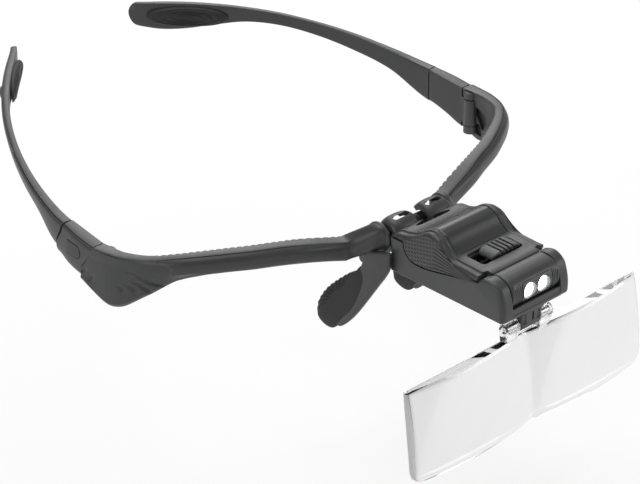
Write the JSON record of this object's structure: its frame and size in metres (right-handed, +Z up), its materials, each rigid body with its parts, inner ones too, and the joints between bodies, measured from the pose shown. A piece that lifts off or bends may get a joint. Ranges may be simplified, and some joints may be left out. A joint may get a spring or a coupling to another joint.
{
  "type": "lighted headband magnifier",
  "caption": "Glasses-style head magnifier: folding temple arms, a tilting battery lamp case over the nose and a wide clear twin lens hung in front.",
  "frame": {"origin": "the bridge over the wearer's nose, midway between the two brow bars, level with their back top edge", "axes": "+Z up as worn, -Y forward (the way the wearer looks), +X to the wearer's left"},
  "size_m": [0.1462, 0.1906, 0.0545],
  "materials": {
    "frame_plastic": "satin charcoal",
    "case_plastic": "satin charcoal",
    "door_plastic": "smooth satin",
    "button_plastic": "fine grain",
    "soft_rubber": "matte",
    "steel": "brushed",
    "cell_steel": "bright",
    "contact_brass": "plated",
    "board_green": "satin",
    "switch_black": "matte",
    "lamp_glow": "clear dome, lit white",
    "clear_acrylic": "polished clear"
  },
  "bodies": {
    "frame": {"front_frame": "frame_plastic", "nose_pad_left": "soft_rubber", "nose_pad_right": "soft_rubber", "tilt_pin": "steel", "fold_pin_left": "steel", "fold_pin_right": "steel"},
    "hinge_left": {"hinge_block_left": "frame_plastic"},
    "hinge_right": {"hinge_block_right": "frame_plastic"},
    "button_left": {"release_button_left": "button_plastic"},
    "button_right": {"release_button_right": "button_plastic"},
    "arm_left": {"temple_arm_left": "frame_plastic", "ear_pad_left": "soft_rubber"},
    "arm_right": {"temple_arm_right": "frame_plastic", "ear_pad_right": "soft_rubber"},
    "lamp_case": {"lower_shell": "case_plastic", "top_cover": "case_plastic", "circuit_board": "board_green", "button_cells": "cell_steel", "contact_spring": "contact_brass", "contact_plate": "contact_brass", "switch_body": "switch_black", "lens_hook": "case_plastic", "lens_pin": "steel", "case_screws": "steel", "drum_pins": "steel"},
    "door": {"battery_door": "door_plastic"},
    "switch": {"switch_knob": "button_plastic"},
    "drum": {"lamp_drum": "case_plastic", "led_left": "lamp_glow", "led_right": "lamp_glow"},
    "lens": {"lens": "clear_acrylic"}
  },
  "joints": [
    {"name": "fold_left", "type": "hinge", "parent": "frame", "child": "hinge_left", "pos_m": [0.069, 0.0346, 0], "axis": [0, 0, 1], "range_deg": [0, 75]},
    {"name": "fold_right", "type": "hinge", "parent": "frame", "child": "hinge_right", "pos_m": [-0.069, 0.0346, 0], "axis": [0, 0, 1], "range_deg": [-75, 0]},
    {"name": "press_left", "type": "slide", "parent": "hinge_left", "child": "button_left", "axis": [-1, 0, 0], "range_m": [0, 0.0006], "stiffness_N_per_m": 800},
    {"name": "press_right", "type": "slide", "parent": "hinge_right", "child": "button_right", "axis": [1, 0, 0], "range_m": [0, 0.0006], "stiffness_N_per_m": 800},
    {"name": "arm_pull_left", "type": "slide", "parent": "hinge_left", "child": "arm_left", "axis": [0, 1, 0], "range_m": [0, 0.012]},
    {"name": "arm_pull_right", "type": "slide", "parent": "hinge_right", "child": "arm_right", "axis": [0, 1, 0], "range_m": [0, 0.012]},
    {"name": "case_tilt", "type": "hinge", "parent": "frame", "child": "lamp_case", "pos_m": [0, -0.008, 0.0007], "axis": [1, 0, 0], "range_deg": [-80, 15]},
    {"name": "drum_tilt", "type": "hinge", "parent": "lamp_case", "child": "drum", "pos_m": [0, -0.0476, -0.0005], "axis": [1, 0, 0], "range_deg": [-25, 20]},
    {"name": "switch_slide", "type": "slide", "parent": "lamp_case", "child": "switch", "axis": [-1, 0, 0], "range_m": [0, 0.0036]},
    {"name": "door_lift", "type": "slide", "parent": "lamp_case", "child": "door", "axis": [0, 0, 1], "range_m": [0, 0.015]},
    {"name": "lens_pivot", "type": "hinge", "parent": "lamp_case", "child": "lens", "pos_m": [0, -0.05, -0.0115], "axis": [1, 0, 0], "range_deg": [-70, 10]}
  ]
}
